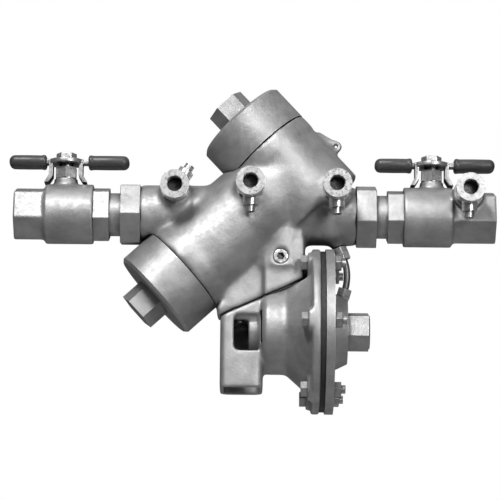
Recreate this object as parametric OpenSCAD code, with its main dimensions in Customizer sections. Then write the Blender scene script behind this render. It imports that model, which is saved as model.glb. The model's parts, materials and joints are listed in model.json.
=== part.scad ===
// Reduced-pressure backflow preventer for a 3/4 inch water line.
// Frame: origin at the centre of the inlet port's face, +X out of that port,
// +Z up, -Y towards the side that carries the test cocks. Water runs along -X.

/* [Line] */
// Radius of the waterway through valves, unions and body
water_r = 9.5; // [9:0.25:10]
// Wall radius of the threaded end ports
port_r = 12; // [11.8:0.1:12.4]
// Depth of the threaded end ports
port_l = 14.5; // [13:0.5:15]
// Length of the inlet valve's end hexagon
inlet_end_l = 31.5; // [30:0.5:32]
// Length of the outlet valve's end hexagon
outlet_end_l = 22.5; // [22:0.5:24]
// Distance across the flats of the end hexagons
end_af = 35; // [34:0.5:36]
// Radius of a valve's barrel
barrel_r = 21.5; // [20.5:0.25:22]
// Distance across the flats of the union nuts
nut_af = 42; // [41:0.5:42]
// Turn of the union nuts and end hexagons about the line
hex_turn = 18; // [10:1:20]
// Distance between the two union faces of the main body
body_l = 169.5; // [169.5:0.5:171]

/* [Ball valves] */
// Radius of the ball
ball_r = 14; // [13.8:0.1:14.2]
// Height of the handle plate's underside over the line's axis
handle_z = 36.5; // [36:0.5:38]
// Length of a handle's arm on the inlet side
long_arm = 45.5; // [44:0.5:46]
// Length of a handle's arm on the outlet side
short_arm = 41; // [40:0.5:42]
// Thickness of the vinyl grips
grip_t = 10.4; // [9:0.2:11]

/* [Checks] */
// Tilt of check 1's axis above the line's axis
check1_angle = 47; // [47:0.5:48]
// Tilt of check 2's axis below the line's axis
check2_angle = 42.5; // [42:0.5:43]
// Radius of the caps and of the body's collars under them
cap_r = 35; // [34.5:0.25:35]
// Height of a cap from its joint to its end face
cap_h = 28; // [27:0.5:28.5]
// Height of the hexagon on a cap
cap_hex_h = 16.5; // [15:0.5:17]
// Distance across the flats of the hexagon on a cap
cap_hex_af = 26; // [25:0.5:27]
// Lift of a check from its seat
check_lift = 10; // [8:0.5:10]

/* [Relief valve] */
// Height of the relief valve's axis under the line's axis
relief_drop = 84; // [83:0.5:86]
// Radius of the diaphragm flanges
flange_r = 59; // [58:0.5:59.5]
// Radius of the circle of cover bolts
bolt_circle_r = 52; // [51.5:0.25:52.5]
// Number of cover bolts
bolt_count = 6; // [6:1:6]
// Travel of the relief valve's stem
relief_travel = 6; // [5:0.5:6]
// Half depth of the discharge spout
spout_half_d = 21; // [20:0.5:22]

/* [Test cocks] */
// Outer radius of a test cock's nose
nose_r = 10.3; // [9.5:0.1:10.5]
// Wall radius of a test cock's threaded port
test_port_r = 5.7; // [5.4:0.1:6]
// Depth of a test cock's threaded port
test_port_l = 11; // [10:0.5:12]
// Length of a test cock outside its boss
cock_l = 22; // [21:0.5:23]

/* [Hidden] */
$fn = 96;

// Clearances: a running fit, and a part laid into its seat
run = 0.05;
lay = 0.02;
// Overlap that makes a cutter break through a face
eps = 0.5;

// A valve's stations, measured from its ball towards the port
barrel_front = 14;
barrel_back = -20.5;
tail_hex_l = 11.5;
tail_hex_af = 36;
neck_l = 8;
neck_r = 15.5;
cavity_r = 15;
seat_face = 13;
nut_l = 14.5;
nut_wall = 3.5;
tail_flange_t = 3.5;
tail_flange_r = 18;
nut_back = barrel_back - tail_hex_l - neck_l;
union_face = nut_back - nut_wall - tail_flange_t;
gland_top = 26;
gland_boss_r = 8.5;
gland_af = 14.5;
stem_r = 5;
stem_tip_r = 3.9;
stem_tip_z = 44.5;
stem_flange_r = 6.4;
packing_r = 7.3;
packing_z = 18.5;
packing_h = 4;
handle_t = 3;
bar_w = 9;
bar_inset = 5;

// Places along the line
inlet_ball_x = -inlet_end_l - barrel_front;
body_in_x = inlet_ball_x + union_face;
body_out_x = body_in_x - body_l;
outlet_ball_x = body_out_x + union_face;
outlet_face_x = outlet_ball_x - barrel_front - outlet_end_l;
spigot_r = 18.9;
spigot_l = nut_l - nut_wall - tail_flange_t;
collar_in_x = body_in_x - spigot_l;
collar_out_x = body_out_x + spigot_l;
line_in_r = 21;
line_out_r = 21.5;
nut_zone_r = 25;
oring_groove_r = 13.5;
oring_groove_d = 2;

// Checks: axes cross the line's axis at these places
check1_x = -118.6;
check2_x = -179;
check1_end = 95.5;
check2_end = 88.5;
check1_joint = check1_end - cap_h;
check2_joint = check2_end - cap_h;
check1_seat_t = 20;
check2_seat_t = 10;
collar_l = 12;
chamber_r = 25;
cap_thread_r = 28.5;
cap_thread_l = 12;
cap_bore_r = 23.5;
cap_guide_r = 9;
cap_guide_s = 38;
cap_floor_s = 60;
seat_r = 17;
seat_h = 6;
seat_bore_r = 10.5;
lip_h = 1.5;
poppet_r = 15;
poppet_disc_t = 3;
poppet_base = 7.5;
poppet_stem_r = 5;
poppet_stem_top = 48;
check_spring_r = 12;
check_spring_wire_r = 0.9;
check_spring_turns = 7;
lug_n = 38;
lug_t = 35;
zone_r = 10.5;
zone_drop_x = -155;
zone_drop_r = 6;

// Relief valve stations along X
relief_z = -relief_drop;
flange_left = -132;
flange_right = -125.6;
cover_left = -122;
cover_right = -116;
hub_right = -106;
hub_r = 28;
plug_end = -90;
plug_thread_r = 9;
bolt_r = 3;
bolt_pad_t = 3;
bell_left = -167;
bell_r = 31;
neck_left = -176.5;
neck_outer_r = 17.5;
relief_seat_r = 14;
relief_bore_r = 9;
relief_seat_x = -168;
relief_seat_l = 6;
disc_face_x = relief_seat_x + 1 + relief_travel;
guide_x = -152;
guide_t = 5;
bell_bore_r = 24;
chamber_left = -138;
chamber_mouth_r = 45;
piston_left = -130;
piston_t = 2.4;
piston_r = 30;
relief_rod_r = 3;
relief_spring_r = 11.5;
relief_spring_wire_r = 1.1;
relief_spring_turns = 3;
roll_r = 37.5;
roll_out_r = 6;
roll_in_r = 4.2;
spout_left = -196.5;
spout_right = -166;
spout_wall = 3;
spout_bottom = -127.4;
// The mounting joint: a plane that rises towards the inlet
joint_angle = atan(0.44);
joint_x = -154;
joint_z = -57.5;
gasket_t = 1.5;
mount_flange_t = 7;
mount_half_w = 19;
mount_screw_r = 2.5;
mount_head_r = 4;
mount_head_h = 4;
// The joint's screws: [place along the joint, half spacing, depth of the head's seat]
mount_screws = [[-35, 8, 5], [11, 10, 10]];
// The plug that closes the cross drilling
drilling_z = -33;
drilling_plug_r = 5;

// The sensing line is one arc in the plane Y = 0
sense_x = -140.9;
sense_z = -43.5;
sense_r = 34.7;
sense_top = 20;
sense_bottom = -16;
sense_tube_r = 2.4;
sense_nut_l = 6;
sense_nut_af = 9.5;
sense_hex_l = 3.5;
sense_thread_l = 5;
sense_thread_r = 3;

// Test cocks: [x, z, y of the boss's face, turn of the stem about the port]
cocks = [
  [-20.4, 13.7, -22, 180],
  [-114.9, 13, -34.5, 180],
  [-175.9, 14, -35, 180],
  [-229.5, 13.5, -24, 33]
];
cock_thread_r = 5.4;
cock_thread_l = 8;
cock_boss_r = 11;
cock_passage_r = 2;
cock_stem_y = -7;
cock_stem_r = 3.4;
cock_stem_top = 19.5;
cock_arm_r = 5.5;
cock_arm_top = 15;
cock_seal_z = 10;

// Colours
BRONZE = "DarkGray";
BRIGHT = "Silver";
STEEL = "LightSteelBlue";
RUBBER = "DimGray";
VINYL = "SlateGray";
PLASTIC = "WhiteSmoke";

// ---------- helpers ----------

module x_cyl(x0, x1, r) {
  translate([x0, 0, 0]) rotate([0, 90, 0]) cylinder(r = r, h = x1 - x0);
}

module x_cone(x0, x1, r0, r1) {
  translate([x0, 0, 0]) rotate([0, 90, 0]) cylinder(r1 = r0, r2 = r1, h = x1 - x0);
}

// A hexagonal bar along X with flats above and below
module x_hex(x0, x1, af, turn = 0) {
  rotate([turn, 0, 0]) translate([x0, 0, 0]) rotate([0, 90, 0]) rotate(30)
    cylinder(d = af / cos(30), h = x1 - x0, $fn = 6);
}

// Everything on the far side of a plane square to +Z
module half_space() {
  translate([-150, -150, 0]) cube(300);
}

module hex(af, h) {
  cylinder(d = af / cos(30), h = h, $fn = 6);
}

module tube(r_out, r_in, h) {
  difference() {
    cylinder(r = r_out, h = h);
    translate([0, 0, -eps]) cylinder(r = r_in, h = h + 2 * eps);
  }
}

module ring(r_mid, r_wire) {
  rotate_extrude() translate([r_mid, 0]) circle(r = r_wire, $fn = 24);
}

// The frames of the two checks: +Z runs out along the check's axis
module on_check1() {
  translate([check1_x, 0, 0]) rotate([0, check1_angle - 90, 0]) children();
}

module on_check2() {
  translate([check2_x, 0, 0]) rotate([0, -90 - check2_angle, 0]) children();
}

module on_relief() {
  translate([0, 0, relief_z]) children();
}

// The frame of the mounting joint: +Z is square to the joint, out of the relief valve
module on_joint() {
  translate([joint_x, 0, joint_z]) rotate([0, -joint_angle, 0]) children();
}

module at_inlet_valve() {
  translate([inlet_ball_x, 0, 0]) children();
}

module at_outlet_valve() {
  translate([outlet_ball_x, 0, 0]) rotate(180) children();
}

module at_both_valves() {
  at_inlet_valve() children();
  at_outlet_valve() children();
}

// A test cock's frame: +Z points out of its port, +Y up
module at_cock(c) {
  translate([c[0], c[2], c[1]]) rotate([90, 0, 0]) children();
}

module at_cock_stem(c) {
  at_cock(c) translate([0, 0, -cock_stem_y]) rotate([0, 0, -c[3]]) rotate([-90, 0, 0]) children();
}

module cover_bolt_places() {
  for (i = [0 : bolt_count - 1])
    on_relief() rotate([i * 360 / bolt_count, 0, 0]) translate([0, bolt_circle_r, 0]) children();
}

// A round-wire spring along +Z with dead ends
function coil_point(r, h, turns, u) = [r * cos(360 * turns * u), r * sin(360 * turns * u), h * u];

module coil(r, wire, h, turns, per_turn = 18, sides = 6) {
  n = round(turns * per_turn);
  points = [
    for (i = [0 : n]) let (u = i / n, a = 360 * turns * u)
      for (k = [0 : sides - 1]) let (b = 360 * k / sides)
        coil_point(r, h, turns, u) + wire * [cos(b) * cos(a), cos(b) * sin(a), sin(b)]
  ];
  sides_of = [
    for (i = [0 : n - 1]) for (k = [0 : sides - 1]) let (m = (k + 1) % sides)
      each [
        [i * sides + k, (i + 1) * sides + k, i * sides + m],
        [i * sides + m, (i + 1) * sides + k, (i + 1) * sides + m]
      ]
  ];
  start = [for (k = [0 : sides - 1]) k];
  end = [for (k = [sides - 1 : -1 : 0]) n * sides + k];
  polyhedron(points = points, faces = concat(sides_of, [start, end]), convexity = 10);
}

// ---------- ball valves ----------

module valve_body(end_l, turn) {
  face = barrel_front + end_l;
  difference() {
    union() {
      x_cyl(barrel_back, barrel_front, barrel_r);
      x_cyl(barrel_front - 4, barrel_front + 1, barrel_r - 2);
      x_hex(barrel_front, face, end_af, turn);
      translate([0, 0, cavity_r]) cylinder(r = gland_boss_r, h = gland_top - cavity_r);
    }
    x_cyl(face - port_l, face + eps, port_r);
    x_cyl(0, face, water_r);
    x_cyl(barrel_back - eps, seat_face, cavity_r);
    translate([0, 0, seat_face]) cylinder(r = stem_flange_r + 0.2, h = 3.5);
    translate([0, 0, seat_face]) cylinder(r = stem_r + run, h = gland_top);
    translate([0, 0, packing_z]) cylinder(r = packing_r + run, h = gland_top);
  }
}

// A boss on the inlet valve's end hexagon carries the first test cock
module inlet_valve_body() {
  color(BRONZE) difference() {
    union() {
      at_inlet_valve() valve_body(inlet_end_l, hex_turn);
      difference() {
        cock_boss(cocks[0]);
        x_cyl(-inlet_end_l, eps, port_r + 2);
      }
    }
    cock_hole(cocks[0], 8, 3);
  }
}

module outlet_valve_body() {
  color(BRONZE) at_outlet_valve() valve_body(outlet_end_l, -hex_turn);
}

module tailpiece(turn) {
  difference() {
    union() {
      x_cyl(barrel_back, -seat_face, cavity_r - run);
      x_hex(barrel_back - tail_hex_l, barrel_back, tail_hex_af, turn);
      x_cyl(union_face, barrel_back, neck_r);
      x_cyl(union_face, union_face + tail_flange_t, tail_flange_r);
    }
    x_cyl(union_face - eps, 0, water_r);
  }
}

module inlet_tailpiece() {
  color(BRONZE) at_inlet_valve() tailpiece(hex_turn);
}

module outlet_tailpiece() {
  color(BRONZE) at_outlet_valve() tailpiece(-hex_turn);
}

module ball() {
  difference() {
    sphere(r = ball_r);
    x_cyl(-ball_r - eps, ball_r + eps, water_r);
    translate([-ball_r, -2.5, ball_r - 3.4]) cube([2 * ball_r, 5, 4]);
  }
}

module inlet_ball() {
  color(STEEL) at_inlet_valve() ball();
}

module outlet_ball() {
  color(STEEL) at_outlet_valve() ball();
}

// A ring on each side of the ball, with a cone that meets the ball at 45 degrees
module ball_seats() {
  outer = cavity_r - 0.1;
  inner = water_r + 0.3;
  reach = ball_r * sqrt(2) + lay;
  color(PLASTIC) at_both_valves() for (turn = [0, 180]) rotate(turn) rotate([0, 90, 0])
    rotate_extrude() polygon([
      [outer, 8], [outer, seat_face], [inner, seat_face], [inner, reach - inner], [reach - 8, 8]
    ]);
}

// The stem's tang drives the ball, and its flange keeps it in the body
module valve_stem() {
  translate([-4, -2.45, ball_r - 3.3]) cube([8, 4.9, 4]);
  translate([0, 0, ball_r + 0.3]) {
    cylinder(r = stem_flange_r, h = 2);
    cylinder(r = stem_r, h = handle_z - ball_r - 0.3);
  }
  translate([0, 0, handle_z]) cylinder(r = stem_tip_r, h = stem_tip_z - handle_z);
}

module inlet_stem() {
  color(STEEL) at_inlet_valve() valve_stem();
}

module outlet_stem() {
  color(STEEL) at_outlet_valve() valve_stem();
}

module stem_packings() {
  color(PLASTIC) at_both_valves() translate([0, 0, packing_z])
    tube(packing_r, stem_r + run, packing_h);
}

module gland_nuts() {
  color(BRIGHT) at_both_valves() difference() {
    union() {
      translate([0, 0, packing_z + packing_h])
        cylinder(r = packing_r, h = gland_top - packing_z - packing_h);
      translate([0, 0, gland_top]) rotate(30) hex(gland_af, 8);
    }
    cylinder(r = stem_r + run, h = 60);
  }
}

module handle_bar() {
  translate([bar_inset - short_arm, -bar_w / 2, handle_z])
    cube([long_arm + short_arm - 2 * bar_inset, bar_w, handle_t]);
}

// The handle: a flat bar with two bent lugs that hug the gland. Both handles lie the
// same way round, so the outlet's is not turned with its valve
module valve_handle() {
  difference() {
    union() {
      handle_bar();
      translate([0, 0, handle_z]) cylinder(r = 13, h = handle_t);
      for (a = [0, 180]) rotate(a) handle_lug();
    }
    translate([0, 0, handle_z - eps]) cylinder(r = stem_tip_r + run, h = handle_t + 2 * eps);
  }
}

module handle_lug() {
  lug_w = 13;
  rotate([90, 0, 0]) translate([0, 0, -lug_w / 2]) linear_extrude(lug_w) polygon([
    [9.2, handle_z + handle_t], [12.2, handle_z + handle_t], [12.2, 28],
    [15.5, 22.4], [12.4, 22.4], [9.2, 27.5]
  ]);
}

module inlet_handle() {
  color(STEEL) translate([inlet_ball_x, 0, 0]) valve_handle();
}

module outlet_handle() {
  color(STEEL) translate([outlet_ball_x, 0, 0]) valve_handle();
}

// A vinyl sleeve pressed over each end of the bar
module grip(x0, x1) {
  grip_w = 17;
  side_r = grip_t / 2;
  mid_z = handle_z + handle_t / 2;
  difference() {
    translate([0, 0, mid_z]) union() {
      for (y = [-1, 1]) translate([0, y * (grip_w / 2 - side_r), 0]) x_cyl(x0, x1, side_r);
      translate([x0, side_r - grip_w / 2, -side_r]) cube([x1 - x0, grip_w - grip_t, grip_t]);
    }
    handle_bar();
  }
}

module both_grips() {
  grip(-short_arm, -14);
  grip(16, long_arm);
}

module inlet_grips() {
  color(VINYL) translate([inlet_ball_x, 0, 0]) both_grips();
}

module outlet_grips() {
  color(VINYL) translate([outlet_ball_x, 0, 0]) both_grips();
}

module handle_nut() {
  translate([0, 0, handle_z + handle_t]) difference() {
    hex(13, 5);
    translate([0, 0, -eps]) cylinder(r = stem_tip_r + lay, h = 6 + eps);
  }
}

module inlet_handle_nut() {
  color(BRIGHT) at_inlet_valve() handle_nut();
}

module outlet_handle_nut() {
  color(BRIGHT) at_outlet_valve() handle_nut();
}

module union_nuts() {
  color(BRONZE) {
    at_inlet_valve() union_nut(hex_turn);
    at_outlet_valve() union_nut(10 - hex_turn);
  }
}

module union_nut(turn) {
  difference() {
    x_hex(nut_back - nut_l, nut_back, nut_af, turn);
    x_cyl(nut_back - nut_l - eps, nut_back + eps, neck_r + 0.1);
    x_cyl(nut_back - nut_l - eps, nut_back - nut_wall, spigot_r + run);
  }
}

module union_orings() {
  color(RUBBER) for (x = [body_in_x - oring_groove_d / 2, body_out_x + oring_groove_d / 2])
    translate([x, 0, 0]) rotate([0, 90, 0]) ring(oring_groove_r, oring_groove_d / 2 - lay);
}

// ---------- main body ----------

module cock_boss(c) {
  translate([c[0], 0, c[1]]) rotate([90, 0, 0]) cylinder(r = cock_boss_r, h = -c[2]);
}

// The spot face and tapped hole for a test cock, and a drilling that slants to the waterway
module cock_hole(c, reach_y, reach_z) {
  translate([c[0], c[2] - 15, c[1]]) rotate([-90, 0, 0]) cylinder(r = cock_boss_r + 0.5, h = 15);
  translate([c[0], c[2] - eps, c[1]]) rotate([-90, 0, 0])
    cylinder(r = cock_thread_r + lay, h = cock_thread_l + 1 + eps);
  start = [c[2] + cock_thread_l, c[1]];
  end = [-reach_y, reach_z];
  run_y = end[0] - start[0];
  run_z = end[1] - start[1];
  translate([c[0], start[0], start[1]]) rotate([-atan2(run_y, run_z), 0, 0])
    cylinder(r = cock_passage_r, h = norm([run_y, run_z]) + 1);
}

module body_outside() {
  difference() {
    body_casting();
    // room for the union nuts and the caps
    x_cyl(collar_in_x, 0, nut_zone_r);
    x_cyl(outlet_face_x, collar_out_x, nut_zone_r);
    on_check1() translate([0, 0, check1_joint]) cylinder(r = cap_r + 1, h = 40);
    on_check2() translate([0, 0, check2_joint]) cylinder(r = cap_r + 1, h = 40);
  }
  // spigots that take the union nuts
  x_cyl(collar_in_x - 1, body_in_x, spigot_r);
  x_cyl(body_out_x, collar_out_x + 1, spigot_r);
}

module body_casting() {
  x_cyl(joint_x + 7, collar_in_x + 1, line_in_r);
  x_cyl(collar_out_x - 1, check2_x, line_out_r);
  // check 1 and check 2 barrels, each with a thicker collar at its mouth
  on_check1() {
    translate([0, 0, 8]) cylinder(r = cap_r - 1, h = check1_joint - 7);
    translate([0, 0, check1_joint - collar_l]) cylinder(r = cap_r, h = collar_l + 1);
  }
  on_check2() {
    translate([0, 0, -46]) cylinder(r = cap_r - 1, h = check2_joint + 47);
    translate([0, 0, check2_joint - collar_l]) cylinder(r = cap_r, h = collar_l + 1);
  }
  for (i = [1 : 3]) cock_boss(cocks[i]);
  // boss for the sensing line under the inlet
  on_sense_end(sense_top, 1) translate([0, 0, sense_nut_l + sense_hex_l]) cylinder(r = 6, h = 16);
  tag_lug();
  mount_pad();
}

// A lug on a web, for a tag wire
module tag_lug() {
  on_check1() rotate([90, 0, 0]) {
    translate([lug_n, lug_t, -3]) cylinder(r = 4.7, h = 6);
    translate([0, 0, -2]) linear_extrude(4) polygon([
      [cap_r - 5, lug_t - 6], [lug_n + 3, lug_t - 1], [lug_n + 3, lug_t + 3],
      [cap_r + 2, lug_t + 17], [cap_r - 5, lug_t + 17]
    ]);
  }
}

// The inclined pad that carries the relief valve, and the web beside it
module mount_pad() {
  intersection() {
    union() {
      translate([0, mount_half_w, 0]) rotate([90, 0, 0]) linear_extrude(2 * mount_half_w) polygon([
        [-166, -80], [-137.5, -60], [-137, -22], [-141, 0], [-166, 0]
      ]);
      translate([0, 13, 0]) rotate([90, 0, 0]) linear_extrude(26) polygon([
        [-196, -85], [-160, -70], [-160, -20], [-175, -30], [-199.5, -69]
      ]);
      translate([joint_x + 1, 0, -40]) cylinder(r = 22, h = 42);
    }
    on_joint() translate([0, 0, gasket_t]) half_space();
    translate([-250, -60, -100]) cube([250 - 136.5, 120, 110]);
  }
}

module main_body() {
  color(BRONZE) difference() {
    body_outside();
    // line in, line out
    x_cyl(check1_x, body_in_x + eps, water_r);
    x_cyl(body_out_x - eps, check2_x - 23, water_r);
    for (x = [body_in_x, body_out_x]) oring_groove(x);
    // under seat 1
    on_check1() {
      translate([0, 0, -9]) cylinder(r = zone_r, h = 9 + check1_seat_t);
      translate([0, 0, check1_seat_t - seat_h]) cylinder(r = seat_r + lay, h = 20);
      translate([0, 0, check1_seat_t]) cylinder(r = chamber_r, h = 60);
      translate([0, 0, check1_joint - cap_thread_l]) cylinder(r = cap_thread_r + lay, h = 20);
    }
    // the zone between the checks, and chamber 2
    on_check2() {
      translate([0, 0, -44]) cylinder(r = zone_r, h = 44 + check2_seat_t);
      translate([0, 0, check2_seat_t - seat_h]) cylinder(r = seat_r + lay, h = 20);
      translate([0, 0, check2_seat_t]) cylinder(r = chamber_r, h = 60);
      translate([0, 0, check2_joint - cap_thread_l]) cylinder(r = cap_thread_r + lay, h = 20);
    }
    // the zone's way down to the relief valve
    translate([zone_drop_x, 0, -80]) cylinder(r = zone_drop_r, h = 82);
    cock_hole(cocks[1], 5, 4);
    cock_hole(cocks[2], 6, 10);
    cock_hole(cocks[3], 5, 4);
    mount_screw_places() cylinder(r = mount_screw_r + lay, h = 11);
    sense_hole(sense_top, 1, 16);
    on_check1() rotate([90, 0, 0]) translate([lug_n, lug_t, -8]) cylinder(r = 1.7, h = 16);
    drilling();
  }
}

module oring_groove(x) {
  into = x == body_in_x ? -1 : 1;
  translate([x, 0, 0]) rotate([0, into * 90, 0]) translate([0, 0, -eps]) difference() {
    cylinder(r = oring_groove_r + oring_groove_d / 2, h = oring_groove_d + eps);
    translate([0, 0, -eps]) cylinder(r = oring_groove_r - oring_groove_d / 2, h = oring_groove_d + 3 * eps);
  }
}

// A cross drilling into the relief passage, closed by a plug with a hexagon socket
module drilling() {
  translate([joint_x, -40, drilling_z]) rotate([-90, 0, 0]) cylinder(r = drilling_plug_r + lay, h = 27);
  translate([joint_x, -15, drilling_z]) rotate([-90, 0, 0]) cylinder(r = 2.5, h = 15);
}

module passage_plug() {
  color(BRIGHT) difference() {
    translate([joint_x, -21, drilling_z]) rotate([-90, 0, 0]) cylinder(r = drilling_plug_r, h = 7);
    translate([joint_x, -22, drilling_z]) rotate([-90, 0, 0]) hex(5, 4.5);
  }
}

// ---------- checks ----------

// A cap: threaded skirt, hexagon outside, and inside a post that guides the poppet
module check_cap(end_s) {
  joint_s = end_s - cap_h;
  difference() {
    union() {
      translate([0, 0, joint_s]) cylinder(r = cap_r, h = cap_h - 2);
      translate([0, 0, end_s - 2]) cylinder(r1 = cap_r, r2 = cap_r - 2, h = 2);
      translate([0, 0, joint_s - cap_thread_l + lay]) cylinder(r = cap_thread_r, h = cap_thread_l);
      translate([0, 0, end_s - eps]) hex(cap_hex_af, cap_hex_h + eps);
    }
    difference() {
      translate([0, 0, joint_s - cap_thread_l - eps])
        cylinder(r = cap_bore_r, h = cap_floor_s - joint_s + cap_thread_l + eps);
      translate([0, 0, cap_guide_s]) cylinder(r = cap_guide_r, h = 60);
    }
    translate([0, 0, cap_guide_s - eps])
      cylinder(r = poppet_stem_r + run, h = cap_floor_s - cap_guide_s + eps);
    translate([0, 0, joint_s - 5]) oring_slot(cap_thread_r, 2);
  }
}

// A square groove round the outside of a plug
module oring_slot(r, w) {
  difference() {
    cylinder(r = r + eps, h = w);
    translate([0, 0, -eps]) cylinder(r = r - w, h = w + 2 * eps);
  }
}

module check_seat() {
  difference() {
    union() {
      translate([0, 0, -seat_h]) cylinder(r = seat_r, h = seat_h);
      cylinder(r = seat_bore_r + 2.5, h = lip_h);
    }
    translate([0, 0, -seat_h - eps]) cylinder(r = seat_bore_r, h = seat_h + lip_h + 2 * eps);
    translate([0, 0, -4]) oring_slot(seat_r, 1.9);
  }
}

// The moving part: a plate that holds the rubber disc, under a hollow stem
module check_poppet() {
  difference() {
    union() {
      translate([0, 0, lip_h]) cylinder(r = poppet_r + 1.6, h = poppet_base - lip_h);
      translate([0, 0, poppet_base - eps])
        cylinder(r = poppet_stem_r, h = poppet_stem_top - poppet_base + eps);
      translate([0, 0, poppet_base - eps]) cylinder(r = 9.4, h = 2);
    }
    translate([0, 0, lip_h - eps]) cylinder(r = poppet_r, h = poppet_disc_t + eps);
    translate([0, 0, lip_h]) cylinder(r = 2.5, h = 16);
    translate([0, 0, 26]) cylinder(r = 3, h = 30);
  }
}

module check_disc() {
  translate([0, 0, lip_h]) tube(poppet_r - lay, 3.1, poppet_disc_t);
}

module check_disc_screw() {
  difference() {
    union() {
      translate([0, 0, lip_h - 2.5]) cylinder(r = 7, h = 2.5);
      translate([0, 0, lip_h - eps]) cylinder(r = 2.48, h = 14 + eps);
    }
    translate([-8, -0.8, lip_h - 3]) cube([16, 1.6, 1.5]);
  }
}

module check_spring() {
  foot = poppet_base + check_spring_wire_r + lay;
  top = cap_floor_s - check_spring_wire_r - lay;
  translate([0, 0, foot]) coil(check_spring_r, check_spring_wire_r, top - foot, check_spring_turns);
}

module on_seat1() {
  on_check1() translate([0, 0, check1_seat_t]) children();
}

module on_seat2() {
  on_check2() translate([0, 0, check2_seat_t]) children();
}

module check1_cap() {
  color(BRONZE) on_seat1() check_cap(check1_end - check1_seat_t);
}

module check2_cap() {
  color(BRONZE) on_seat2() check_cap(check2_end - check2_seat_t);
}

module check1_seat() {
  color(PLASTIC) on_seat1() check_seat();
}

module check2_seat() {
  color(PLASTIC) on_seat2() check_seat();
}

module check1_poppet() {
  color(PLASTIC) on_seat1() check_poppet();
}

module check2_poppet() {
  color(PLASTIC) on_seat2() check_poppet();
}

module check1_disc() {
  color(RUBBER) on_seat1() check_disc();
}

module check2_disc() {
  color(RUBBER) on_seat2() check_disc();
}

module check1_disc_screw() {
  color(STEEL) on_seat1() check_disc_screw();
}

module check2_disc_screw() {
  color(STEEL) on_seat2() check_disc_screw();
}

module check1_spring() {
  color(STEEL) on_seat1() check_spring();
}

module check2_spring() {
  color(STEEL) on_seat2() check_spring();
}

module cap_orings() {
  groove_mid = -4;
  color(RUBBER) {
    on_check1() translate([0, 0, check1_joint + groove_mid]) ring(cap_thread_r - 1, 0.96);
    on_check2() translate([0, 0, check2_joint + groove_mid]) ring(cap_thread_r - 1, 0.96);
  }
}

module seat_orings() {
  color(RUBBER) {
    on_seat1() translate([0, 0, -3.05]) ring(seat_r - 0.95, 0.9);
    on_seat2() translate([0, 0, -3.05]) ring(seat_r - 0.95, 0.9);
  }
}

// ---------- relief valve ----------

module relief_outside() {
  difference() {
    bell_outside();
    // the joint's plane cuts the bell, as far as the flange
    intersection() {
      on_joint() half_space();
      translate([-250, -100, -100]) cube([250 + flange_left - 1, 200, 200]);
    }
  }
  on_relief() x_cyl(flange_left, flange_right, flange_r);
  // a pad behind every bolt
  intersection() {
    cover_bolt_places() x_cyl(flange_left - bolt_pad_t, flange_left + 1, 8.5);
    on_relief() x_cyl(flange_left - bolt_pad_t, flange_right, flange_r);
  }
  relief_flange();
  spout_outside();
}

module bell_outside() {
  on_relief() {
    x_cyl(neck_left, bell_left + eps, neck_outer_r);
    x_cone(bell_left, bell_left + 3, bell_r - 3, bell_r);
    x_cyl(bell_left + 3, -150, bell_r);
    x_cone(-150, -141, bell_r, bell_r + 8);
    x_cone(-141, flange_left, bell_r + 8, bell_r + 16);
  }
}

// The flange under the mounting joint, and the block that joins it to the bell
module relief_flange() {
  half_w = mount_half_w - 2;
  on_joint() translate([-40, -half_w, -mount_flange_t]) cube([56, 2 * half_w, mount_flange_t]);
  difference() {
    translate([-168, -half_w, relief_z]) cube([30, 2 * half_w, 60]);
    on_joint() half_space();
  }
}

// The frames of the joint's four screws, on the joint's plane
module mount_screw_places() {
  for (m = mount_screws, y = [-1, 1]) on_joint() translate([m[0], y * m[1], 0]) children();
}

// The discharge spout: a hood over the seat that opens downward
module spout_outside() {
  corner = 5;
  difference() {
    translate([0, 0, spout_bottom]) linear_extrude(75) {
      translate([spout_left + corner, -spout_half_d])
        square([spout_right - spout_left - 2 * corner, 2 * spout_half_d]);
      translate([spout_left, -spout_half_d + corner])
        square([spout_right - spout_left, 2 * spout_half_d - 2 * corner]);
      for (x = [spout_left + corner, spout_right - corner], y = [-1, 1])
        translate([x, y * (spout_half_d - corner)]) circle(r = corner);
    }
    on_joint() half_space();
  }
}

module spout_inside() {
  inner_x0 = spout_left + spout_wall;
  inner_x1 = spout_right - spout_wall;
  inner_y = spout_half_d - spout_wall;
  difference() {
    translate([inner_x0, -inner_y, spout_bottom - eps]) cube([inner_x1 - inner_x0, 2 * inner_y, 49.5]);
    on_relief() x_cyl(neck_left, spout_right, neck_outer_r);
  }
}

// A window in the near side of the hood, for the air gap; it runs up to the bell
module spout_window() {
  corner = 3;
  left = spout_left + 10;
  low = -16.5;
  high = 9;
  translate([left, -neck_outer_r - 0.3, relief_z]) rotate([90, 0, 0]) linear_extrude(10) {
    translate([corner, low]) square([bell_left - 1.5 - left - corner, high - low]);
    translate([0, low + corner]) square([10, high - low - 2 * corner]);
    for (z = [low + corner, high - corner]) translate([corner, z]) circle(r = corner);
  }
}

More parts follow.
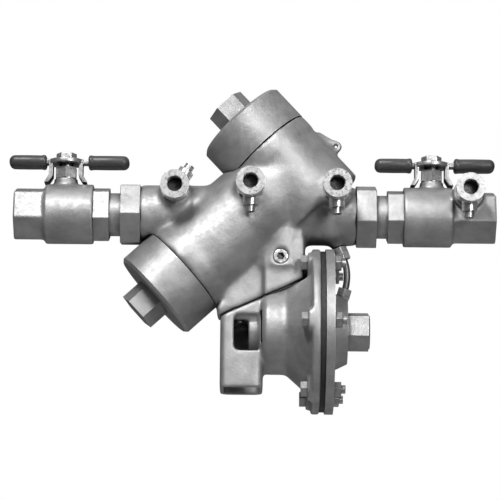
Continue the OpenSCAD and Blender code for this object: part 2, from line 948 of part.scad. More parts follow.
module relief_body() {
  color(BRONZE) difference() {
    relief_outside();
    spout_window();
    spout_inside();
    on_relief() {
      // seat pocket, bell and diaphragm chamber
      x_cyl(neck_left - eps, -150, relief_bore_r);
      x_cyl(relief_seat_x - relief_seat_l, -150, relief_seat_r + lay);
      x_cyl(bell_left, guide_x + guide_t, bell_bore_r);
      x_cyl(guide_x, chamber_left, bell_bore_r - 0.5);
      x_cone(chamber_left - 0.3, flange_left + 1, bell_bore_r - 1, chamber_mouth_r - 3);
      x_cyl(flange_left + 0.99, flange_right + eps, chamber_mouth_r);
    }
    cover_bolt_places() x_cyl(flange_left - 12, flange_right + 1, bolt_r + 0.2);
    translate([zone_drop_x, 0, -75]) cylinder(r = zone_drop_r, h = 40);
    for (m = mount_screws, y = [-1, 1]) on_joint() translate([m[0], y * m[1], 0]) {
      translate([0, 0, -20]) cylinder(r = mount_screw_r + run, h = 30);
      translate([0, 0, -m[2] - 7]) cylinder(r = mount_head_r + 0.5, h = 7);
    }
  }
}

module relief_gasket() {
  color(RUBBER) on_joint() translate([0, 0, lay]) linear_extrude(gasket_t - 2 * lay) difference() {
    union() {
      translate([-13, -mount_half_w + 2.5]) square([28, 2 * mount_half_w - 5]);
      translate([-40, -12.5]) square([40, 25]);
    }
    translate([-1, 0]) circle(r = zone_drop_r + 2);
    for (m = mount_screws, y = [-1, 1]) translate([m[0], y * m[1]]) circle(r = mount_screw_r + 0.3);
  }
}

// Socket screws, reached from inside the hood and from inside the diaphragm chamber
module relief_mount_bolts() {
  color(STEEL) on_joint() for (m = mount_screws, y = [-1, 1]) translate([m[0], y * m[1], -m[2]])
    difference() {
      union() {
        cylinder(r = mount_screw_r, h = m[2] + gasket_t + 8);
        translate([0, 0, -mount_head_h]) cylinder(r = mount_head_r, h = mount_head_h);
      }
      translate([0, 0, -mount_head_h - eps]) hex(4, 2.5 + eps);
    }
}

module relief_cover() {
  color(BRONZE) difference() {
    on_relief() {
      x_cyl(cover_left, cover_right, flange_r);
      x_cone(cover_right, hub_right, hub_r, hub_r - 5);
    }
    on_relief() {
      x_cyl(cover_left - eps, cover_left + 2.5, chamber_mouth_r);
      x_cone(cover_left + 2.49, cover_left + 9, 32, 16);
      x_cyl(cover_left, hub_right + eps, plug_thread_r + lay);
    }
    cover_bolt_places() x_cyl(cover_left - 1, cover_right + 1, bolt_r + 0.2);
    sense_hole(sense_bottom, -1, 12);
  }
}

module cover_plug() {
  color(BRONZE) on_relief() difference() {
    union() {
      x_hex(hub_right + lay, plug_end - 1, 25.5, hex_turn);
      x_cone(plug_end - 1.01, plug_end, 12.6, 11.6);
      x_cyl(hub_right - 7, hub_right + 1, plug_thread_r);
    }
    x_cyl(hub_right - 8, plug_end - 5, 5.5);
  }
}

// Heads against the body flange, threads out through the cover
module cover_bolts() {
  color(STEEL) cover_bolt_places() {
    x_hex(flange_left - bolt_pad_t - 4.5, flange_left - bolt_pad_t, 10);
    x_cyl(flange_left - bolt_pad_t - eps, cover_right + 8, bolt_r);
  }
}

module cover_nuts() {
  color(STEEL) cover_bolt_places() difference() {
    x_hex(cover_right, cover_right + 5, 10);
    x_cyl(cover_right - 1, cover_right + 6, bolt_r + lay);
  }
}

// Rim, flat middle, and one convolution rolled towards the relief seat
module diaphragm() {
  rim_t = cover_left - flange_right - 2 * lay;
  mid = (cover_left + flange_right) / 2;
  color(RUBBER) difference() {
    on_relief() translate([mid, 0, 0]) rotate([0, 90, 0]) rotate_extrude() {
      translate([roll_r + roll_in_r, -rim_t / 2]) square([flange_r - 1.5 - roll_r - roll_in_r, rim_t]);
      translate([relief_rod_r + run, -rim_t / 2]) square([roll_r - roll_in_r - relief_rod_r - run, rim_t]);
      difference() {
        translate([roll_r, 0]) circle(r = roll_out_r, $fn = 48);
        translate([roll_r, 0]) circle(r = roll_in_r, $fn = 48);
        translate([roll_r - 10, 0]) square([20, 9]);
      }
    }
    cover_bolt_places() x_cyl(flange_right - 5, cover_left + 5, bolt_r + 0.2);
  }
}

module diaphragm_piston() {
  color(STEEL) on_relief() difference() {
    union() {
      x_cyl(flange_right - piston_t, flange_right, piston_r);
      x_cyl(piston_left, flange_right - 2, 9);
    }
    x_cyl(piston_left - eps, flange_right + eps, relief_rod_r + run);
  }
}

module diaphragm_washer() {
  color(STEEL) on_relief() difference() {
    x_cyl(cover_left, cover_left + 2, piston_r - 3);
    x_cyl(cover_left - eps, cover_left + 3, relief_rod_r + run);
  }
}

module relief_stem() {
  color(STEEL) on_relief() {
    x_cyl(disc_face_x - 5.5, cover_left + 9, relief_rod_r);
    x_cyl(disc_face_x + 2.5, piston_left, 4);
    x_cyl(disc_face_x + 2.5, disc_face_x + 5.5, 13);
  }
}

module relief_stem_nuts() {
  color(STEEL) on_relief() difference() {
    union() {
      x_hex(disc_face_x - 3.5, disc_face_x, 10);
      x_hex(cover_left + 2, cover_left + 6, 10);
    }
    x_cyl(-180, -100, relief_rod_r + lay);
  }
}

module relief_disc() {
  color(RUBBER) on_relief() difference() {
    x_cyl(disc_face_x, disc_face_x + 2.5, 12.5);
    x_cyl(-180, -100, relief_rod_r + run);
  }
}

module relief_seat() {
  color(STEEL) on_relief() difference() {
    union() {
      x_cyl(relief_seat_x - relief_seat_l + lay, relief_seat_x, relief_seat_r);
      x_cyl(relief_seat_x - eps, relief_seat_x + 1, 11);
    }
    x_cyl(-200, -100, relief_bore_r);
  }
}

module relief_spring() {
  foot = guide_x + guide_t + relief_spring_wire_r + lay;
  top = flange_right - piston_t - relief_spring_wire_r - lay;
  color(STEEL) on_relief() translate([foot, 0, 0]) rotate([0, 90, 0])
    coil(relief_spring_r, relief_spring_wire_r, top - foot, relief_spring_turns);
}

// A spider that guides the stem and lets the zone's water past
module relief_guide() {
  color(PLASTIC) on_relief() difference() {
    union() {
      x_cyl(guide_x, guide_x + guide_t, bell_bore_r - run);
      x_cyl(guide_x - 1.5, guide_x + 10, 7.5);
    }
    x_cyl(-180, -100, 4 + run);
    for (a = [45 : 90 : 315]) rotate([a, 0, 0]) translate([0, 18, 0]) x_cyl(guide_x - 1, guide_x + guide_t + 1, 3.6);
  }
}

// ---------- sensing line ----------

// An end of the arc: +Z leaves the tube along its tangent
module on_sense_end(a, dir) {
  translate([sense_x + sense_r * cos(a), 0, sense_z + sense_r * sin(a)])
    rotate([0, dir > 0 ? -a : 180 - a, 0]) children();
}

module sense_hole(a, dir, deep) {
  on_sense_end(a, dir) {
    translate([0, 0, sense_nut_l - 1]) cylinder(r = 5.6, h = sense_hex_l + 1);
    translate([0, 0, sense_nut_l + sense_hex_l - 0.01]) {
      cylinder(r = sense_thread_r + lay, h = sense_thread_l + 0.5);
      cylinder(r = 1.2, h = deep);
    }
  }
}

module sensing_tube() {
  color(STEEL) translate([sense_x, 0, sense_z]) rotate([90, 0, 0]) rotate([0, 0, sense_bottom])
    rotate_extrude(angle = sense_top - sense_bottom) translate([sense_r, 0]) difference() {
      circle(r = sense_tube_r, $fn = 48);
      circle(r = sense_tube_r - 0.7, $fn = 48);
    }
}

module sense_ends() {
  on_sense_end(sense_top, 1) children();
  on_sense_end(sense_bottom, -1) children();
}

module sensing_nuts() {
  color(BRIGHT) sense_ends() difference() {
    rotate(30) hex(sense_nut_af, sense_nut_l);
    translate([0, 0, -eps]) cylinder(r = 1.7, h = sense_nut_l + 1);
  }
}

module sensing_connectors() {
  color(BRIGHT) sense_ends() translate([0, 0, sense_nut_l]) difference() {
    union() {
      rotate(30) hex(sense_nut_af - 0.5, sense_hex_l);
      cylinder(r = sense_thread_r, h = sense_hex_l + sense_thread_l);
    }
    translate([0, 0, -eps]) cylinder(r = 1.2, h = 20);
  }
}

// ---------- test cocks ----------

module testcock_outside(c) {
  at_cock(c) {
    translate([0, 0, -cock_thread_l]) cylinder(r = cock_thread_r, h = cock_thread_l + 1);
    rotate(30) hex(17, 3);
    translate([0, 0, 2]) cylinder(r = 7.8, h = cock_l - 8);
    translate([0, 0, cock_l - 9]) cylinder(r = nose_r, h = 9);
  }
  at_cock_stem(c) cylinder(r = cock_arm_r, h = cock_arm_top);
}

// A plug valve: threaded port in the nose, and an arm that houses the plug's stem
module testcock_bodies() {
  color(BRIGHT) for (c = cocks) difference() {
    testcock_outside(c);
    at_cock(c) translate([0, 0, cock_l - test_port_l]) cylinder(r = test_port_r, h = test_port_l + eps);
    at_cock(c) translate([0, 0, -cock_thread_l - eps]) cylinder(r = 1.8, h = cock_l - 4);
    at_cock_stem(c) translate([0, 0, -5]) cylinder(r = cock_stem_r + run, h = 30);
  }
}

module testcock_stem(c) {
  color(STEEL) at_cock_stem(c) difference() {
    translate([0, 0, -5]) cylinder(r = cock_stem_r, h = cock_stem_top + 5);
    rotate([90, 0, 0]) translate([0, 0, -6]) cylinder(r = 1.6, h = 12);
    translate([-5, -0.7, cock_stem_top - 2]) cube([10, 1.4, 3]);
    translate([0, 0, cock_seal_z]) oring_slot(cock_stem_r, 1.4);
  }
}

module testcock_stem_1() {
  testcock_stem(cocks[0]);
}

module testcock_stem_2() {
  testcock_stem(cocks[1]);
}

module testcock_stem_3() {
  testcock_stem(cocks[2]);
}

module testcock_stem_4() {
  testcock_stem(cocks[3]);
}

module testcock_seals() {
  color(RUBBER) for (c = cocks) at_cock_stem(c) translate([0, 0, cock_seal_z + 0.7]) ring(cock_stem_r - 0.66, 0.64);
}

// ---------- nodes ----------

main_body();
check1_cap();
check1_seat();
check1_poppet();
check1_disc();
check1_disc_screw();
check1_spring();
check2_cap();
check2_seat();
check2_poppet();
check2_disc();
check2_disc_screw();
check2_spring();
cap_orings();
seat_orings();
relief_body();
relief_gasket();
relief_mount_bolts();
relief_cover();
cover_bolts();
cover_nuts();
diaphragm();
diaphragm_piston();
diaphragm_washer();
relief_stem();
relief_stem_nuts();
relief_disc();
relief_seat();
relief_spring();
relief_guide();
cover_plug();
sensing_tube();
sensing_connectors();
sensing_nuts();
inlet_valve_body();
inlet_tailpiece();
inlet_ball();
inlet_stem();
inlet_handle();
inlet_grips();
inlet_handle_nut();
outlet_valve_body();
outlet_tailpiece();
outlet_ball();
outlet_stem();
outlet_handle();
outlet_grips();
outlet_handle_nut();
gland_nuts();
ball_seats();
stem_packings();
union_nuts();
union_orings();
testcock_bodies();
testcock_stem_1();
testcock_stem_2();
testcock_stem_3();
testcock_stem_4();
testcock_seals();
passage_plug();
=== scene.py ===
import json
import math

import bmesh
import bpy
import numpy as np
from mathutils import Matrix, Vector


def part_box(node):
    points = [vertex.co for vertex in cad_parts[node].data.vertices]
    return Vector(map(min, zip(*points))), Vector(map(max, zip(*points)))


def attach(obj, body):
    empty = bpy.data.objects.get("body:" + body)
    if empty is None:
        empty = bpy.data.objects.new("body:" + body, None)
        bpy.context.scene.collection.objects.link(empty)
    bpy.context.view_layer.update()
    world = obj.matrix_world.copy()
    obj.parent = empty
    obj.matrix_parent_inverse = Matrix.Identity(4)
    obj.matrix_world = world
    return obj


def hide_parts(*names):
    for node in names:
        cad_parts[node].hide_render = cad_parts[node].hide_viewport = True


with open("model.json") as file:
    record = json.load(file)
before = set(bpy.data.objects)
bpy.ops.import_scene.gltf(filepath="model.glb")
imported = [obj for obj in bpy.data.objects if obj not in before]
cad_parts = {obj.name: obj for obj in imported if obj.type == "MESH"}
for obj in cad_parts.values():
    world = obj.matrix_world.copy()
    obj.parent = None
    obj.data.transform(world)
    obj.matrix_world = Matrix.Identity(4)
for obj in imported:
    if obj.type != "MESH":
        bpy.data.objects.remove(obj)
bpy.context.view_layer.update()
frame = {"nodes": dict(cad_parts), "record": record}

MM = 0.001
NODES = frame["nodes"]
RECORD = frame["record"]
BODY_OF = {n: body for body, members in RECORD["behaviour"]["bodies"].items() for n in members}
SLOT_OF = {s["node"]: s["material_slot"] for s in RECORD["subparts"]}
JOINTS = {j["name"]: j for j in RECORD["behaviour"]["joints"]}
MOUNTS = {m["name"]: m for m in RECORD["mounts"]}

# ---------- camera ----------

# The object is seen square on from slightly below, through a long lens.
CAMERA_DISTANCE = 2.0
CAMERA_ELEVATION = math.radians(-11.0)
CAMERA_AZIMUTH = math.radians(0.0)
CAMERA_ROLL = math.radians(0.55)
CAMERA_TARGET = Vector((-0.1759, 0.0, -0.0249))
FRAME_WIDTH = 0.359
SENSOR_WIDTH = 36.0


def make_camera():
    data = bpy.data.cameras.new("camera")
    data.sensor_width = SENSOR_WIDTH
    data.lens = SENSOR_WIDTH * CAMERA_DISTANCE / FRAME_WIDTH
    data.clip_start = 0.05
    data.clip_end = 50.0
    camera = bpy.data.objects.new("camera", data)
    bpy.context.scene.collection.objects.link(camera)
    level = math.cos(CAMERA_ELEVATION)
    towards = Vector((
        -math.sin(CAMERA_AZIMUTH) * level,
        math.cos(CAMERA_AZIMUTH) * level,
        -math.sin(CAMERA_ELEVATION),
    ))
    camera.location = CAMERA_TARGET - CAMERA_DISTANCE * towards
    level_view = towards.to_track_quat("-Z", "Y").to_matrix()
    camera.rotation_euler = (level_view @ Matrix.Rotation(CAMERA_ROLL, 3, "Z")).to_euler()
    bpy.context.scene.camera = camera


# ---------- materials ----------

class Shader:
    """A material's node tree, with short calls to add and join nodes."""

    def __init__(self, name):
        self.material = bpy.data.materials.new(name)
        self.material.use_nodes = True
        self.tree = self.material.node_tree
        self.surface = self.tree.nodes["Principled BSDF"]
        self.coords = self.add("ShaderNodeTexCoord").outputs["Object"]

    def add(self, kind, inputs=None, **settings):
        node = self.tree.nodes.new(kind)
        for key, value in settings.items():
            setattr(node, key, value)
        for key, value in (inputs or {}).items():
            self.put(node.inputs[key], value)
        return node

    def put(self, socket, value):
        if isinstance(value, bpy.types.NodeSocket):
            self.tree.links.new(value, socket)
        else:
            socket.default_value = value

    def noise(self, size, detail=4.0, roughness=0.55, stretch=None):
        """Noise whose features are about size metres across."""
        coords = self.coords
        if stretch:
            coords = self.add("ShaderNodeMapping", {"Vector": coords, "Scale": stretch}).outputs[0]
        return self.add("ShaderNodeTexNoise", {
            "Vector": coords, "Scale": 1.0 / size, "Detail": detail, "Roughness": roughness,
        }).outputs["Fac"]

    def voronoi(self, size):
        return self.add("ShaderNodeTexVoronoi", {
            "Vector": self.coords, "Scale": 1.0 / size,
        }).outputs["Distance"]

    def ramp(self, value, low, high, out_low=0.0, out_high=1.0):
        return self.add("ShaderNodeMapRange", {
            "Value": value,
            "From Min": low,
            "From Max": high,
            "To Min": out_low,
            "To Max": out_high,
        }).outputs[0]

    def math(self, operation, a, b=0.0):
        node = self.add("ShaderNodeMath", operation=operation)
        self.put(node.inputs[0], a)
        self.put(node.inputs[1], b)
        return node.outputs[0]

    def mix(self, factor, a, b):
        node = self.add("ShaderNodeMix", data_type="RGBA")
        self.put(node.inputs["Factor"], factor)
        self.put(node.inputs[6], a)
        self.put(node.inputs[7], b)
        return node.outputs[2]

    def edge_mask(self, radius):
        """1 on edges and corners, 0 on flats."""
        rounded = self.add("ShaderNodeBevel", {"Radius": radius}, samples=4).outputs[0]
        normal = self.add("ShaderNodeNewGeometry").outputs["Normal"]
        turned = self.add("ShaderNodeVectorMath", {0: rounded, 1: normal}, operation="DOT_PRODUCT")
        return self.ramp(turned.outputs["Value"], 0.995, 0.9)

    def painted_shade_mask(self, distance, shallow=0.75, deep=0.15):
        """Painted shade mask from ambient occlusion: 1 in corners, joints and bores, 0 in the open.
        """
        reach = self.add("ShaderNodeAmbientOcclusion", {"Distance": distance}, samples=6)
        return self.ramp(reach.outputs["AO"], shallow, deep)

    def bump(self, height, distance, strength=1.0, normal=None):
        node = self.add("ShaderNodeBump", {
            "Height": height, "Distance": distance, "Strength": strength,
        })
        if normal:
            self.put(node.inputs["Normal"], normal)
        return node.outputs[0]

    def finish(self, **inputs):
        for key, value in inputs.items():
            self.put(self.surface.inputs[key.replace("_", " ")], value)
        return self.material


def grey(value, tint=0.0):
    return (value * (1.0 + tint), value, value * (1.0 - tint), 1.0)


def cast_bronze():
    """Sand-cast metal: grainy skin, faint blotches, worn edges, painted shade in corners."""
    s = Shader("cast_bronze")
    grain = s.noise(0.7 * MM, 3.0, 0.65)
    pits = s.ramp(s.voronoi(1.6 * MM), 0.0, 0.35)
    swell = s.noise(7 * MM, 2.0)
    blotch = s.ramp(s.noise(16 * MM, 5.0, 0.6), 0.35, 0.68)
    colour = s.mix(blotch, grey(0.33), grey(0.47))
    colour = s.mix(s.ramp(grain, 0.62, 0.8, 0.0, 0.35), colour, grey(0.70))
    colour = s.mix(s.math("MULTIPLY", s.edge_mask(0.5 * MM), 0.6), colour, grey(0.78))
    # Painted shade: ambient occlusion darkens corners and joints (5 mm reach) and the space under
    # and between parts (30 mm reach).
    colour = s.mix(s.math("MULTIPLY", s.painted_shade_mask(5 * MM), 0.8), colour, grey(0.07))
    colour = s.mix(s.math("MULTIPLY", s.painted_shade_mask(30 * MM, 0.5, 0.2), 0.85), colour, grey(0.03))
    normal = s.bump(swell, 0.5 * MM, 0.5)
    normal = s.bump(pits, 0.1 * MM, 0.6, normal)
    normal = s.bump(grain, 0.16 * MM, 0.8, normal)
    rough = s.ramp(s.noise(3 * MM), 0.3, 0.7, 0.42, 0.58)
    return s.finish(Base_Color=colour, Metallic=0.72, Roughness=rough, Normal=normal)


def turned_metal(name, tone, rough, wear=0.5, metallic=0.85):
    """Machined metal: fine tool marks, a little tarnish, bright edges, painted shade in corners."""
    s = Shader(name)
    marks = s.noise(0.25 * MM, 2.0, 0.5, stretch=(1.0, 0.12, 1.0))
    tarnish = s.ramp(s.noise(5 * MM, 6.0, 0.6), 0.4, 0.75)
    colour = s.mix(tarnish, grey(tone), grey(tone * 0.72))
    worn = grey(min(0.95, tone * 1.3))
    colour = s.mix(s.math("MULTIPLY", s.edge_mask(0.35 * MM), wear), colour, worn)
    # Painted shade: ambient occlusion darkens corners and bores (3 mm reach) and the space between
    # parts (14 mm reach).
    colour = s.mix(s.math("MULTIPLY", s.painted_shade_mask(3 * MM), 0.75), colour, grey(0.05))
    colour = s.mix(s.math("MULTIPLY", s.painted_shade_mask(14 * MM, 0.55, 0.25), 0.85), colour, grey(0.02))
    normal = s.bump(marks, 0.03 * MM, 0.8)
    normal = s.bump(s.noise(2.5 * MM), 0.05 * MM, 0.5, normal)
    roughness = s.ramp(s.noise(2 * MM, 5.0), 0.3, 0.7, rough * 0.8, rough * 1.25)
    return s.finish(Base_Color=colour, Metallic=metallic, Roughness=roughness, Normal=normal)


def rubber():
    """Moulded black rubber with a dusty bloom."""
    s = Shader("rubber")
    bloom = s.ramp(s.noise(4 * MM, 6.0), 0.45, 0.8, 0.0, 0.6)
    colour = s.mix(bloom, grey(0.022), grey(0.055))
    normal = s.bump(s.noise(0.5 * MM, 3.0), 0.05 * MM, 0.7)
    return s.finish(Base_Color=colour, Roughness=0.62, Normal=normal)


def vinyl():
    """Dip-moulded vinyl: soft sheen, orange peel, scuffed ends."""
    s = Shader("vinyl")
    scuff = s.ramp(s.noise(2.2 * MM, 8.0, 0.7), 0.56, 0.72)
    colour = s.mix(s.math("MULTIPLY", scuff, 0.5), grey(0.055), grey(0.13))
    colour = s.mix(s.math("MULTIPLY", s.edge_mask(0.8 * MM), 0.35), colour, grey(0.2))
    normal = s.bump(s.noise(1.4 * MM, 2.0), 0.08 * MM, 0.6)
    roughness = s.ramp(scuff, 0.0, 1.0, 0.38, 0.6)
    return s.finish(Base_Color=colour, Roughness=roughness, Normal=normal)


def plastic(name, tone, rough):
    """Engineering plastic: slight haze under the surface, faint mould texture, painted shade in
    corners.
    """
    s = Shader(name)
    haze = s.ramp(s.noise(6 * MM, 4.0), 0.3, 0.7)
    colour = s.mix(haze, grey(tone * 0.92, 0.01), grey(tone, 0.01))
    # Painted shade: ambient occlusion greys the plastic in corners and joints.
    colour = s.mix(s.math("MULTIPLY", s.painted_shade_mask(3 * MM), 0.6), colour, grey(0.2))
    normal = s.bump(s.noise(0.6 * MM, 3.0), 0.03 * MM, 0.6)
    return s.finish(Base_Color=colour, Roughness=rough, Normal=normal)


def make_materials():
    return {
        "cast_bronze": cast_bronze(),
        "turned_brass": turned_metal("turned_brass", 0.78, 0.30),
        "steel": turned_metal("steel", 0.50, 0.34),
        "chrome_ball": turned_metal("chrome_ball", 0.82, 0.10, wear=0.1, metallic=1.0),
        "copper_tube": turned_metal("copper_tube", 0.16, 0.42, wear=0.6),
        "rubber": rubber(),
        "vinyl": vinyl(),
        "acetal": plastic("acetal", 0.80, 0.42),
        "ptfe": plastic("ptfe", 0.88, 0.5),
    }


# ---------- mesh helpers ----------

def new_piece(name, vertices, faces, stands_for, smooth=True):
    """A new mesh that rides with the named CAD node's body and takes its slot's material."""
    mesh = bpy.data.meshes.new(name)
    mesh.from_pydata([tuple(v) for v in vertices], [], [tuple(f) for f in faces])
    mesh.validate()
    piece = bpy.data.objects.new(name, mesh)
    bpy.context.scene.collection.objects.link(piece)
    if smooth:
        mesh.shade_smooth()
    dress(piece, stands_for)
    return piece


def dress(piece, stands_for):
    slot = SLOT_OF[stands_for]
    piece.data.materials.clear()
    piece.data.materials.append(MATERIALS[slot])
    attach(piece, BODY_OF[stands_for])


def soften(piece, width, segments=2, angle=32):
    """Rounds the sharp edges of a piece or CAD node without moving its faces."""
    weld = piece.modifiers.new("weld", "WELD")
    weld.merge_threshold = 0.002 * MM
    if width > 0:
        bevel = piece.modifiers.new("bevel", "BEVEL")
        bevel.width = width
        bevel.segments = segments
        bevel.limit_method = "ANGLE"
        bevel.angle_limit = math.radians(angle)
        bevel.use_clamp_overlap = True
        bevel.miter_outer = "MITER_ARC"
    weighted = piece.modifiers.new("normals", "WEIGHTED_NORMAL")
    weighted.keep_sharp = False
    weighted.weight = 100


def placed(vertices, matrix):
    return [matrix @ Vector(v) for v in vertices]


def frame_at(origin, direction):
    """A matrix whose +Z runs along direction from origin."""
    turn = Vector(direction).to_track_quat("Z", "Y").to_matrix().to_4x4()
    return Matrix.Translation(Vector(origin)) @ turn


def joined(parts):
    """One vertex and face list from several."""
    vertices, faces = [], []
    for some_vertices, some_faces in parts:
        base = len(vertices)
        vertices += list(some_vertices)
        faces += [tuple(base + i for i in face) for face in some_faces]
    return vertices, faces


def helix_ridge(wall, tip, pitch, length, steps=36):
    """A thread's ridge along Z: its foot is on the wall radius, its crest at the tip radius."""
    turns = length / pitch
    count = int(turns * steps)
    foot = pitch * 0.46
    vertices, faces = [], []
    for i in range(count + 1):
        turn = i / steps
        angle = 2 * math.pi * turn
        fade = min(1.0, i / (0.5 * steps), (count - i) / (0.5 * steps))
        crest = wall + (tip - wall) * fade
        z = turn * pitch
        for r, dz in ((wall, -foot), (crest, 0.0), (wall, foot)):
            vertices.append((r * math.cos(angle), r * math.sin(angle), z + dz))
    for i in range(count):
        a, b = 3 * i, 3 * i + 3
        faces += [(a, b, b + 1, a + 1), (a + 1, b + 1, b + 2, a + 2), (a + 2, b + 2, b, a)]
    faces += [(0, 1, 2), (3 * count + 2, 3 * count + 1, 3 * count)]
    return vertices, faces


# ---------- castings ----------

# Share of each smoothing step that a point may take.
FILL = 0.8
WEAR_FIRST = 0.6
WEAR = 0.25
SLIDE = 0.3
FIRST_ROUNDS = 4


def cast_skin(node, voxel, rounds):
    """Rebuilds a casting as one skin with the fillets that a sand mould leaves.

    Corners that point inward fill up with each round; corners that point outward
    give way only a little, so that the casting keeps its size.
    """
    source = NODES[node]
    piece = source.copy()
    piece.data = source.data.copy()
    piece.name = node + "_casting"
    for key in list(piece.keys()):
        if key.startswith("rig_"):
            del piece[key]
    piece.parent = None
    bpy.context.scene.collection.objects.link(piece)
    weld = piece.modifiers.new("weld", "WELD")
    weld.merge_threshold = 0.002 * MM
    remesh = piece.modifiers.new("remesh", "REMESH")
    remesh.mode = "VOXEL"
    remesh.voxel_size = voxel
    remesh.adaptivity = 0.0
    depsgraph = bpy.context.evaluated_depsgraph_get()
    mesh = bpy.data.meshes.new_from_object(piece.evaluated_get(depsgraph))
    piece.modifiers.clear()
    piece.data = mesh
    round_corners(mesh, rounds)
    mesh.shade_smooth()
    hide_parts(node)
    dress(piece, node)
    return piece


def round_corners(mesh, rounds):
    """Fills hollows and wears corners, along the normals; a little slide evens the mesh."""
    count = len(mesh.vertices)
    points = np.empty(count * 3, np.float32)
    mesh.vertices.foreach_get("co", points)
    points = points.reshape(-1, 3).astype(float)
    edges = np.empty(len(mesh.edges) * 2, np.int32)
    mesh.edges.foreach_get("vertices", edges)
    edges = edges.reshape(-1, 2)
    ends = np.concatenate([edges[:, 0], edges[:, 1]])
    others = np.concatenate([edges[:, 1], edges[:, 0]])
    degree = np.bincount(ends, minlength=count).clip(1)[:, None]
    for turn in range(rounds):
        mean = np.stack([np.bincount(ends, points[others, k], count) for k in range(3)], 1) / degree
        step = mean - points
        if turn % FIRST_ROUNDS == 0:
            mesh.vertices.foreach_set("co", points.astype(np.float32).ravel())
            mesh.update()
            normals = np.empty(count * 3, np.float32)
            mesh.vertex_normals.foreach_get("vector", normals)
            normals = normals.reshape(-1, 3)
        out = (step * normals).sum(1, keepdims=True)
        sideways = step - out * normals
        give = np.where(out > 0, FILL, WEAR_FIRST if turn < FIRST_ROUNDS else WEAR)
        points = points + out * normals * give + SLIDE * sideways
    mesh.vertices.foreach_set("co", points.astype(np.float32).ravel())
    mesh.update()


# ---------- pieces ----------

PORT_PITCH = 1.81 * MM
PORT_RIDGE = 0.95 * MM
TEST_PITCH = 1.41 * MM
TEST_RIDGE = 0.6 * MM
THREAD_INSET = 1.0 * MM


def mount_thread(name, mount, node, pitch, ridge):
    """The internal thread of a threaded mount; its ridge stands in from the plain wall."""
    data = MOUNTS[mount]
    radius = data["dims"]["r_mm"] * MM
    length = data["dims"]["length_mm"] * MM
    into = -Vector(data["axis"])
    start = Vector(data["pos_m"]) + into * THREAD_INSET
    vertices, faces = helix_ridge(radius, radius - ridge, pitch, length - 2.2 * THREAD_INSET)
    new_piece(name, placed(vertices, frame_at(start, into)), faces, node)


def make_threads():
    for end in ("inlet", "outlet"):
        body = f"{end}_valve_body"
        mount_thread(f"{end}_port_thread", f"{end}_port", body, PORT_PITCH, PORT_RIDGE)
    for i in range(1, 5):
        name, port = f"test_port_thread_{i}", f"test_port_{i}"
        mount_thread(name, port, "testcock_bodies", TEST_PITCH, TEST_RIDGE)


def grip_sleeve(x0, x1, centre, width, height, bead_at_start):
    """A dipped vinyl sleeve along X with full, rounded ends and a bead where it was cut."""
    steps, sides = 40, 40
    vertices, faces = [], []
    length = x1 - x0
    end_r = height * 0.42
    for i in range(steps + 1):
        u = 0.5 - 0.5 * math.cos(math.pi * i / steps)
        x = x0 + length * u
        from_closed = (1 - u if bead_at_start else u) * length
        from_open = length - from_closed
        close = math.sqrt(max(0.0, 1 - max(0.0, 1 - from_closed / end_r) ** 2.2))
        lip = 1.0 - 0.35 * max(0.0, 1 - from_open / (0.9 * MM)) ** 2
        bead = 0.35 * MM * math.exp(-((from_open - 2.0 * MM) / (1.1 * MM)) ** 2)
        swell = 1.0 - 0.05 * math.cos(2 * math.pi * from_closed / length)
        half_w = (0.5 * width - 0.45 * MM) * swell * (0.35 + 0.65 * close) * lip + bead
        half_h = (0.5 * height - 0.45 * MM) * (0.12 + 0.88 * close) * lip + bead
        for k in range(sides):
            a = 2 * math.pi * k / sides
            c, s = math.cos(a), math.sin(a)
            y = half_w * math.copysign(abs(c) ** 0.78, c)
            z = half_h * math.copysign(abs(s) ** 0.78, s)
            vertices.append((x, centre[1] + y, centre[2] + z))
    for i in range(steps):
        for k in range(sides):
            m = (k + 1) % sides
            faces.append((i * sides + k, i * sides + m, (i + 1) * sides + m, (i + 1) * sides + k))
    faces.append(tuple(range(sides))[::-1])
    faces.append(tuple(range(steps * sides, (steps + 1) * sides)))
    return vertices, faces


def make_grips(node, joint):
    """Both sleeves of a handle; the gap between them is where the handle's bar shows."""
    low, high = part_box(node)
    pivot = Vector(JOINTS[joint]["pos_m"])
    mesh = NODES[node].data
    xs = [v.co.x - pivot.x for v in mesh.vertices]
    left_inner = pivot.x + max(x for x in xs if x < 0)
    right_inner = pivot.x + min(x for x in xs if x > 0)
    centre = (low + high) / 2
    size = high - low
    vertices, faces = joined([
        grip_sleeve(low.x, left_inner, centre, size.y, size.z, False),
        grip_sleeve(right_inner, high.x, centre, size.y, size.z, True),
    ])
    piece = new_piece(node + "_sleeves", vertices, faces, node)
    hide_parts(node)


CAST_NODES = {
    "main_body": (1.1 * MM, 22),
    "relief_body": (0.9 * MM, 14),
    "inlet_valve_body": (0.75 * MM, 10),
    "outlet_valve_body": (0.75 * MM, 10),
}

SOFT_EDGE = {
    "check1_cap": 0.9, "check2_cap": 0.9, "relief_cover": 0.9, "cover_plug": 0.8,
    "inlet_tailpiece": 0.6, "outlet_tailpiece": 0.6, "union_nuts": 0.8,
    "inlet_handle": 0.5, "outlet_handle": 0.5, "testcock_bodies": 0.45,
    "gland_nuts": 0.4, "inlet_handle_nut": 0.4, "outlet_handle_nut": 0.4,
    "cover_bolts": 0.4, "cover_nuts": 0.4, "relief_mount_bolts": 0.4,
}
PLAIN_EDGE = 0.2


def finish_cad_nodes():
    replaced = set(CAST_NODES) | {"inlet_grips", "outlet_grips"}
    for name, node in NODES.items():
        if name in replaced:
            continue
        slot = SLOT_OF[name]
        node.data.materials.clear()
        node.data.materials.append(MATERIALS[slot])
        node.data.shade_smooth()
        soften(node, SOFT_EDGE.get(name, PLAIN_EDGE) * MM)


# ---------- studio ----------

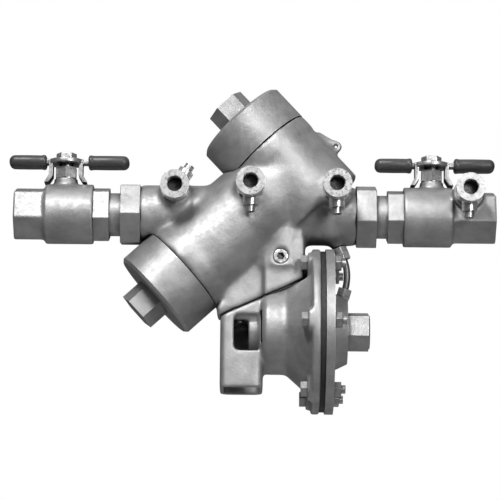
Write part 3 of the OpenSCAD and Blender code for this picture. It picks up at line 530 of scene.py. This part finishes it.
def area_light(name, offset, size, power, spread=180.0):
    """A square lamp that looks at the object's middle."""
    data = bpy.data.lights.new(name, "AREA")
    data.energy = power
    data.size = size
    data.spread = math.radians(spread)
    light = bpy.data.objects.new(name, data)
    bpy.context.scene.collection.objects.link(light)
    light.location = CAMERA_TARGET + Vector(offset)
    light.rotation_euler = (-Vector(offset)).to_track_quat("-Z", "Y").to_euler()


FLOOR_Z = -0.55
FLOOR_SIZE = 6.0


def make_floor():
    half = FLOOR_SIZE / 2
    corners = [(-half, -half), (half, -half), (half, half), (-half, half)]
    mesh = bpy.data.meshes.new("floor")
    mesh.from_pydata([(x, y, FLOOR_Z) for x, y in corners], [], [(0, 1, 2, 3)])
    floor = bpy.data.objects.new("floor", mesh)
    bpy.context.scene.collection.objects.link(floor)
    s = Shader("floor")
    tone = s.ramp(s.noise(0.25, 3.0), 0.3, 0.7, 0.66, 0.70)
    mesh.materials.append(s.finish(Base_Color=tone, Roughness=0.8))


def make_world():
    """A white backdrop; the light it gives is dim below and brighter above."""
    world = bpy.data.worlds.new("studio")
    world.use_nodes = True
    bpy.context.scene.world = world
    tree = world.node_tree
    light = tree.nodes["Background"]
    coords = tree.nodes.new("ShaderNodeTexCoord")
    split = tree.nodes.new("ShaderNodeSeparateXYZ")
    height = tree.nodes.new("ShaderNodeMapRange")
    height.inputs["From Min"].default_value = -1.0
    ramp = tree.nodes.new("ShaderNodeValToRGB")
    tree.links.new(coords.outputs["Generated"], split.inputs[0])
    tree.links.new(split.outputs["Z"], height.inputs["Value"])
    tree.links.new(height.outputs[0], ramp.inputs[0])
    tree.links.new(ramp.outputs[0], light.inputs[0])
    stops = ramp.color_ramp.elements
    stops[0].position, stops[0].color = 0.0, grey(0.01)
    stops[1].position, stops[1].color = 1.0, grey(0.35)
    for place, tone in WORLD_TONES:
        stops.new(place).color = grey(tone)
    backdrop = tree.nodes.new("ShaderNodeBackground")
    backdrop.inputs[0].default_value = grey(1.0)
    seen = tree.nodes.new("ShaderNodeLightPath")
    choice = tree.nodes.new("ShaderNodeMixShader")
    tree.links.new(seen.outputs["Is Camera Ray"], choice.inputs[0])
    tree.links.new(light.outputs[0], choice.inputs[1])
    tree.links.new(backdrop.outputs[0], choice.inputs[2])
    tree.links.new(choice.outputs[0], tree.nodes["World Output"].inputs["Surface"])


# Places run from 0 straight below to 1 straight above.
WORLD_TONES = [(0.42, 0.015), (0.52, 0.04), (0.7, 0.13)]


def make_studio():
    make_floor()
    make_world()
    area_light("key", (-0.4, -1.25, 1.0), 0.4, 1.35, 40.0)
    area_light("top", (0.2, 0.1, 1.6), 0.6, 0.12, 40.0)
    area_light("right", (0.75, -1.5, 0.3), 0.4, 0.4, 30.0)
    view = bpy.context.scene.view_settings
    view.view_transform = "Standard"
    view.look = "None"


make_camera()
MATERIALS = make_materials()
for cast_node, (cast_voxel, cast_rounds) in CAST_NODES.items():
    cast_skin(cast_node, cast_voxel, cast_rounds)
make_threads()
make_grips("inlet_grips", "inlet_valve_turn")
make_grips("outlet_grips", "outlet_valve_turn")
finish_cad_nodes()
make_studio()
